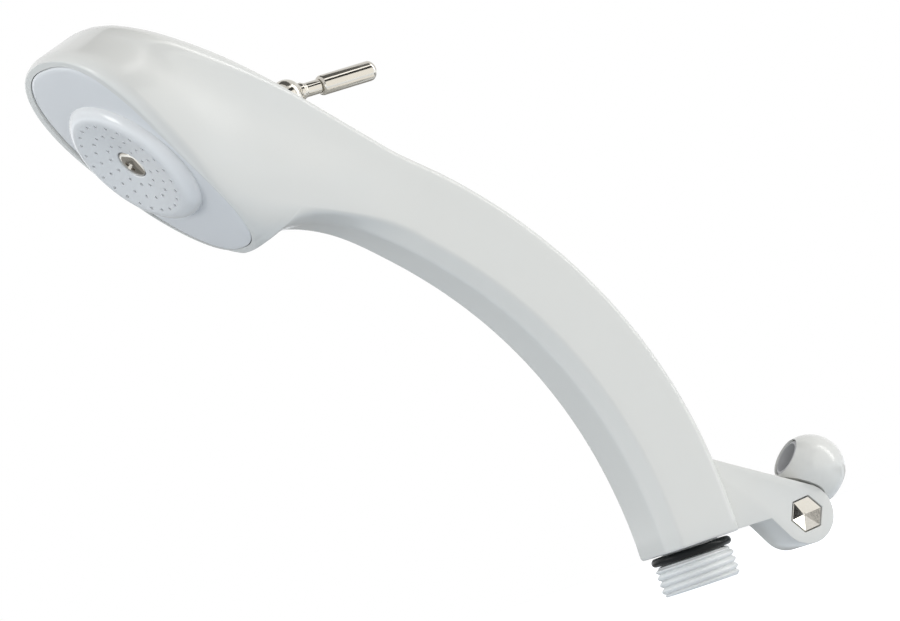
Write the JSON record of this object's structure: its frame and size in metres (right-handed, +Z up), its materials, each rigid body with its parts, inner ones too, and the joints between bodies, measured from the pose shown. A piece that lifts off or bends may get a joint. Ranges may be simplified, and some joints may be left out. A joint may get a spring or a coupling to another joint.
{
  "type": "handheld shower head",
  "caption": "Handheld shower head with a curved arm, domed face and raised round rose, a valve lever on its back, a threaded hose spigot and a tilting ball eye.",
  "frame": {"origin": "centre of the hose spigot's end face", "axes": "+Z up the spigot into the arm, -Y the side that the spray leaves, X across; the object is symmetrical about X = 0"},
  "size_m": [0.0534, 0.1832, 0.1854],
  "materials": {
    "white_gloss": "glossy moulded white",
    "white_satin": "satin moulded white",
    "grey_plastic": "satin light grey",
    "chrome": "bright nickel-chrome plating",
    "steel": "bright zinc-plated steel",
    "brass": "turned",
    "black_rubber": "smooth",
    "hose_rubber": "matt",
    "grey_rubber": "matt"
  },
  "bodies": {
    "handset": {"body": "white_gloss", "face_plate": "white_gloss", "rose": "white_gloss", "rose_gasket": "black_rubber", "spray_chamber": "white_satin", "chamber_screw_upper": "steel", "chamber_screw_lower": "steel", "flow_spreader": "white_satin", "screw_insert": "brass", "central_screw": "chrome", "screw_washer": "black_rubber", "feed_hose": "hose_rubber", "valve_body": "grey_plastic", "bonnet": "chrome", "seat_ring_inlet": "white_satin", "seat_ring_outlet": "white_satin", "water_tube": "hose_rubber", "hose_spigot": "white_satin", "inlet_filter": "grey_plastic", "collar_ring": "black_rubber", "spigot_seal": "black_rubber", "pivot_bolt": "steel", "pivot_nut": "steel", "friction_washer_near": "grey_plastic", "friction_washer_far": "grey_plastic"},
    "lever": {"lever_spindle": "chrome", "lever_rod": "chrome", "lever_grip": "chrome", "spindle_ring_upper": "black_rubber", "spindle_ring_lower": "black_rubber", "spindle_clip": "steel", "valve_rotor": "grey_plastic"},
    "eye": {"ball_eye": "white_gloss", "rail_sleeve": "grey_rubber"}
  },
  "joints": [
    {"name": "lever_turn", "type": "hinge", "parent": "handset", "child": "lever", "pos_m": [0, -0.06953, 0.15329], "axis": [0, 0.6561, 0.7547], "range_deg": [0, 90]},
    {"name": "eye_tilt", "type": "hinge", "parent": "handset", "child": "eye", "pos_m": [0, 0.0321, 0.009], "axis": [1, 0, 0], "range_deg": [-60, 8]}
  ]
}
